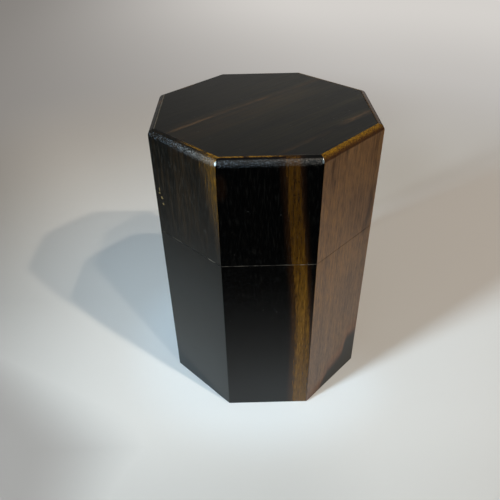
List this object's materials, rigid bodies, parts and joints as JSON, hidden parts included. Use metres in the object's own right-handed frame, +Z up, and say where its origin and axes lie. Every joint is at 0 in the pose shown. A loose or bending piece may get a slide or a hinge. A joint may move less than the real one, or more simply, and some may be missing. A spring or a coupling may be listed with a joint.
{
  "type": "tea caddy",
  "caption": "Octagonal stave-built wooden tea caddy with a flush lift-off lid that slides over an inner lip, and a knobbed inner lid that closes the tea chamber.",
  "frame": {"origin": "middle of the foot, on the surface that the caddy stands on", "axes": "+Z up along the axis of the octagon, -Y out of the front face, +X to the right"},
  "size_m": [0.08, 0.08, 0.1161],
  "materials": {
    "dark_stave_wood": "near-black streaked heartwood with golden-brown sapwood streaks, satin wiped lacquer",
    "brown_stave_wood": "golden-brown streaked wood with black marks, satin wiped lacquer",
    "panel_wood": "near-black straight-grained wood with fine brown lines, satin wiped lacquer",
    "liner_wood": "fine-grained reddish-brown hardwood, planed and waxed",
    "inner_lid_wood": "fine-grained reddish-brown hardwood, planed and waxed",
    "knob_wood": "near-black turned hardwood, polished"
  },
  "bodies": {
    "body": {"body_stave_front": "dark_stave_wood", "body_stave_front_right": "brown_stave_wood", "body_stave_right": "brown_stave_wood", "body_stave_back_right": "brown_stave_wood", "body_stave_back": "dark_stave_wood", "body_stave_back_left": "dark_stave_wood", "body_stave_left": "dark_stave_wood", "body_stave_front_left": "dark_stave_wood", "base_panel": "panel_wood", "liner_stave_front": "liner_wood", "liner_stave_front_right": "liner_wood", "liner_stave_right": "liner_wood", "liner_stave_back_right": "liner_wood", "liner_stave_back": "liner_wood", "liner_stave_back_left": "liner_wood", "liner_stave_left": "liner_wood", "liner_stave_front_left": "liner_wood"},
    "lid": {"lid_stave_front": "dark_stave_wood", "lid_stave_front_right": "brown_stave_wood", "lid_stave_right": "brown_stave_wood", "lid_stave_back_right": "brown_stave_wood", "lid_stave_back": "dark_stave_wood", "lid_stave_back_left": "dark_stave_wood", "lid_stave_left": "dark_stave_wood", "lid_stave_front_left": "dark_stave_wood", "top_panel": "panel_wood"},
    "inner_lid": {"inner_lid": "inner_lid_wood", "inner_lid_knob": "knob_wood"}
  },
  "joints": [
    {"name": "lid_lift", "type": "slide", "parent": "body", "child": "lid", "axis": [0, 0, 1], "range_m": [0, 0.05]},
    {"name": "inner_lid_lift", "type": "slide", "parent": "body", "child": "inner_lid", "axis": [0, 0, 1], "range_m": [0, 0.01]}
  ]
}
